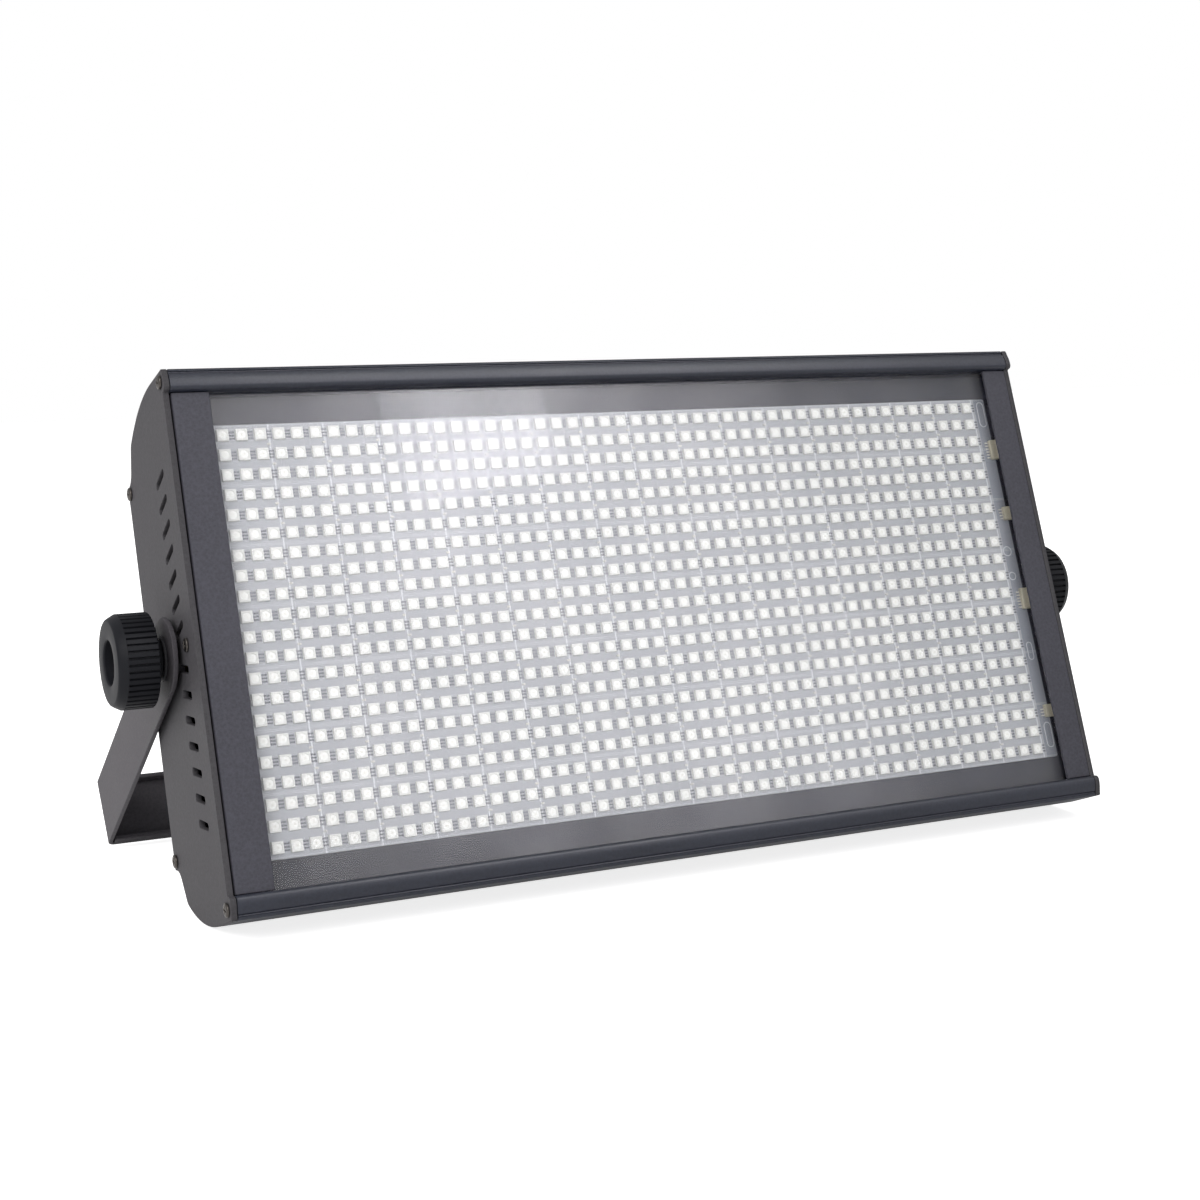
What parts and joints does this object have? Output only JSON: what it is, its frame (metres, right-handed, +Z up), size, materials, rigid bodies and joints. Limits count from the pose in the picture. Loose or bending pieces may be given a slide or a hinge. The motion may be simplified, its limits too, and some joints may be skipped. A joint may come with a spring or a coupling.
{
  "type": "strobe light",
  "caption": "Flat rectangular strobe light with a lamp-filled window, vented end plates, a U-shaped yoke on ribbed clamp knobs and a rear connector panel.",
  "frame": {"origin": "on the floor under the middle of the whole light, as it stands leaning back on its yoke", "axes": "+X along the housing's width, to the right as seen from the front; the window faces -Y; +Z up"},
  "size_m": [0.4776, 0.2112, 0.2225],
  "materials": {
    "side_powder_coat": "fine-grained satin black powder coat on sheet metal",
    "black_powder_coat": "fine-grained satin black powder coat",
    "clear_glass": "clear polished pane",
    "white_board": "white solder mask with thin grey print and cream lamps",
    "green_board": "green circuit board",
    "black_plastic": "fine-grained moulded black plastic",
    "rubber": "black rubber",
    "nickel_screws": "nickel plate with a warm tint",
    "zinc_steel": "zinc plate",
    "bare_aluminium": "bare extruded aluminium",
    "brass": "turned brass",
    "dark_window": "smoked display window"
  },
  "bodies": {
    "housing": {"left_end_plate": "side_powder_coat", "right_end_plate": "side_powder_coat", "top_shell": "black_powder_coat", "bottom_shell": "black_powder_coat", "rear_panel": "black_powder_coat", "left_filler_strip": "black_powder_coat", "right_filler_strip": "black_powder_coat", "front_glass": "clear_glass", "top_glass_cushion": "rubber", "bottom_glass_cushion": "rubber", "lamp_board": "white_board", "lamp_tray": "black_powder_coat", "heat_sink": "bare_aluminium", "driver_board": "green_board", "control_board": "green_board", "power_supply": "bare_aluminium", "display_window": "dark_window", "left_clamp_insert": "brass", "left_friction_washer": "rubber", "right_clamp_insert": "brass", "right_friction_washer": "rubber", "left_front_top_screw": "nickel_screws", "left_rear_top_screw": "nickel_screws", "panel_left_top_screw": "nickel_screws", "left_front_bottom_screw": "nickel_screws", "left_rear_bottom_screw": "nickel_screws", "panel_left_bottom_screw": "nickel_screws", "left_middle_screw": "nickel_screws", "left_fan_frame": "black_plastic", "right_front_top_screw": "nickel_screws", "right_rear_top_screw": "nickel_screws", "panel_right_top_screw": "nickel_screws", "right_front_bottom_screw": "nickel_screws", "right_rear_bottom_screw": "nickel_screws", "panel_right_bottom_screw": "nickel_screws", "right_middle_screw": "nickel_screws", "right_fan_frame": "black_plastic", "power_inlet": "black_plastic", "signal_in_socket": "black_plastic", "signal_out_socket": "black_plastic", "safety_eye": "zinc_steel"},
    "yoke": {"yoke": "side_powder_coat"},
    "left_clamp": {"left_clamp_washer": "zinc_steel"},
    "right_clamp": {"right_clamp_washer": "zinc_steel"},
    "left_knob": {"left_clamp_knob": "black_plastic", "left_clamp_stud": "zinc_steel"},
    "right_knob": {"right_clamp_knob": "black_plastic", "right_clamp_stud": "zinc_steel"},
    "left_rotor": {"left_fan_rotor": "black_plastic"},
    "right_rotor": {"right_fan_rotor": "black_plastic"},
    "latch": {"signal_latch": "zinc_steel"},
    "drawer": {"fuse_drawer": "black_plastic"},
    "button_1": {"menu_button_1": "black_plastic"},
    "button_2": {"menu_button_2": "black_plastic"},
    "button_3": {"menu_button_3": "black_plastic"},
    "button_4": {"menu_button_4": "black_plastic"}
  },
  "joints": [
    {"name": "yoke_tilt", "type": "hinge", "parent": "housing", "child": "yoke", "pos_m": [0, -0.03117, 0.10412], "axis": [1, 0, 0], "range_deg": [-120, 150]},
    {"name": "left_clamp_travel", "type": "slide", "parent": "housing", "child": "left_clamp", "axis": [-1, 0, 0], "range_m": [0, 0.0025]},
    {"name": "left_knob_turn", "type": "hinge", "parent": "left_clamp", "child": "left_knob", "pos_m": [0, -0.03117, 0.10412], "axis": [-1, 0, 0], "range_deg": [0, 720]},
    {"name": "left_fan_spin", "type": "hinge", "parent": "housing", "child": "left_rotor", "pos_m": [-0.105, 0.00196, 0.1243], "axis": [0, 0.9438, -0.3305], "continuous": true},
    {"name": "right_clamp_travel", "type": "slide", "parent": "housing", "child": "right_clamp", "axis": [1, 0, 0], "range_m": [0, 0.0025]},
    {"name": "right_knob_turn", "type": "hinge", "parent": "right_clamp", "child": "right_knob", "pos_m": [0, -0.03117, 0.10412], "axis": [1, 0, 0], "range_deg": [0, 720]},
    {"name": "right_fan_spin", "type": "hinge", "parent": "housing", "child": "right_rotor", "pos_m": [0.105, 0.00196, 0.1243], "axis": [0, 0.9438, -0.3305], "continuous": true},
    {"name": "button_1_press", "type": "slide", "parent": "housing", "child": "button_1", "axis": [0, -0.9438, 0.3305], "range_m": [0, 0.001], "stiffness_N_per_m": 800, "springref_m": -0.001},
    {"name": "button_2_press", "type": "slide", "parent": "housing", "child": "button_2", "axis": [0, -0.9438, 0.3305], "range_m": [0, 0.001], "stiffness_N_per_m": 800, "springref_m": -0.001},
    {"name": "button_3_press", "type": "slide", "parent": "housing", "child": "button_3", "axis": [0, -0.9438, 0.3305], "range_m": [0, 0.001], "stiffness_N_per_m": 800, "springref_m": -0.001},
    {"name": "button_4_press", "type": "slide", "parent": "housing", "child": "button_4", "axis": [0, -0.9438, 0.3305], "range_m": [0, 0.001], "stiffness_N_per_m": 800, "springref_m": -0.001},
    {"name": "latch_press", "type": "slide", "parent": "housing", "child": "latch", "axis": [0, -0.3305, -0.9438], "range_m": [0, 0.0012], "stiffness_N_per_m": 800, "springref_m": -0.001},
    {"name": "drawer_pull", "type": "slide", "parent": "housing", "child": "drawer", "axis": [0, 0.9438, -0.3305], "range_m": [0, 0.014]}
  ],
  "couplings": [
    {"joint": "left_knob_turn", "follows": "left_clamp_travel", "rad_per_m": 5026.5},
    {"joint": "right_knob_turn", "follows": "right_clamp_travel", "rad_per_m": 5026.5}
  ]
}
